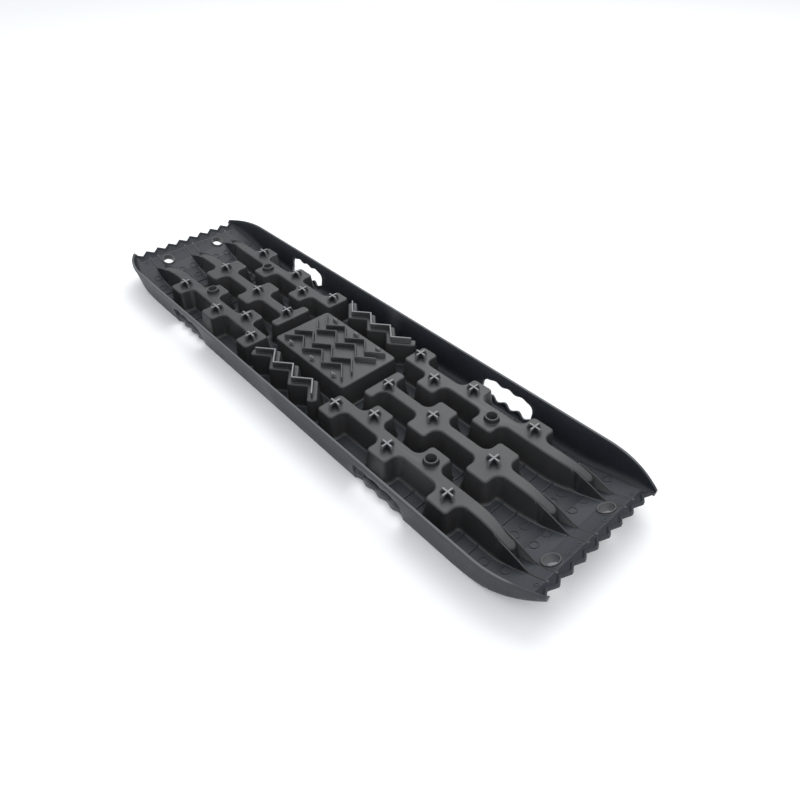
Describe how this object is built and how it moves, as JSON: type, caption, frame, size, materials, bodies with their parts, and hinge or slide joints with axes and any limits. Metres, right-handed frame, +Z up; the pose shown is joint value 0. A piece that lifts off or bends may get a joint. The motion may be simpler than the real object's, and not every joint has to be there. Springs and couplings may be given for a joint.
{
  "type": "vehicle traction board",
  "caption": "Ribbed moulded traction board with ramped toothed ends, lugged ridges, cross cleats, a raised centre pad, side rails with hand slots and rope eyes.",
  "frame": {"origin": "middle of the underside, on the plane that the board lies on", "axes": "+X along the board, +Y across it, +Z up through the cleats; the board is the same turned end for end"},
  "size_m": [1.06, 0.282, 0.056],
  "materials": {
    "deck_plastic": "black moulded nylon, fine grain, satin, dusty in the recesses",
    "rail_plastic": "black moulded nylon, fine vertical ribbing on the outer face",
    "ridge_plastic": "black moulded nylon, flat tops slightly greyer from handling",
    "cleat_plastic": "black moulded nylon, edges rubbed lighter"
  },
  "bodies": {
    "root": {"deck_center": "deck_plastic", "deck_left": "deck_plastic", "deck_right": "deck_plastic", "ramp_left": "deck_plastic", "ramp_right": "deck_plastic", "toothed_edge_left": "deck_plastic", "toothed_edge_right": "deck_plastic", "rail_near_left": "rail_plastic", "rail_near_right": "rail_plastic", "rail_far_left": "rail_plastic", "rail_far_right": "rail_plastic", "grip_lip_near_left": "rail_plastic", "grip_lip_near_right": "rail_plastic", "grip_lip_far_left": "rail_plastic", "grip_lip_far_right": "rail_plastic", "ridge_near_left": "ridge_plastic", "ridge_near_right": "ridge_plastic", "ridge_mid_left": "ridge_plastic", "ridge_mid_right": "ridge_plastic", "ridge_far_left": "ridge_plastic", "ridge_far_right": "ridge_plastic", "finger_near_left": "ridge_plastic", "finger_near_right": "ridge_plastic", "finger_mid_left": "ridge_plastic", "finger_mid_right": "ridge_plastic", "finger_far_left": "ridge_plastic", "finger_far_right": "ridge_plastic", "fins_near_left": "cleat_plastic", "fins_near_right": "cleat_plastic", "fins_mid_left": "cleat_plastic", "fins_mid_right": "cleat_plastic", "fins_far_left": "cleat_plastic", "fins_far_right": "cleat_plastic", "cleats_near_left": "cleat_plastic", "cleats_near_right": "cleat_plastic", "cleats_mid_left": "cleat_plastic", "cleats_mid_right": "cleat_plastic", "cleats_far_left": "cleat_plastic", "cleats_far_right": "cleat_plastic", "mount_ring_near_left": "cleat_plastic", "mount_ring_near_right": "cleat_plastic", "mount_ring_far_left": "cleat_plastic", "mount_ring_far_right": "cleat_plastic", "rope_eye_near_left": "cleat_plastic", "rope_eye_near_right": "cleat_plastic", "rope_eye_far_left": "cleat_plastic", "rope_eye_far_right": "cleat_plastic", "center_pad": "ridge_plastic", "pad_zigzag_ribs": "cleat_plastic", "pad_studs": "cleat_plastic", "zigzag_step_near": "ridge_plastic", "zigzag_step_far": "ridge_plastic", "zigzag_blade_near": "cleat_plastic", "zigzag_blade_far": "cleat_plastic", "under_ribs_center": "deck_plastic", "under_ribs_left": "deck_plastic", "under_ribs_right": "deck_plastic"}
  },
  "joints": []
}
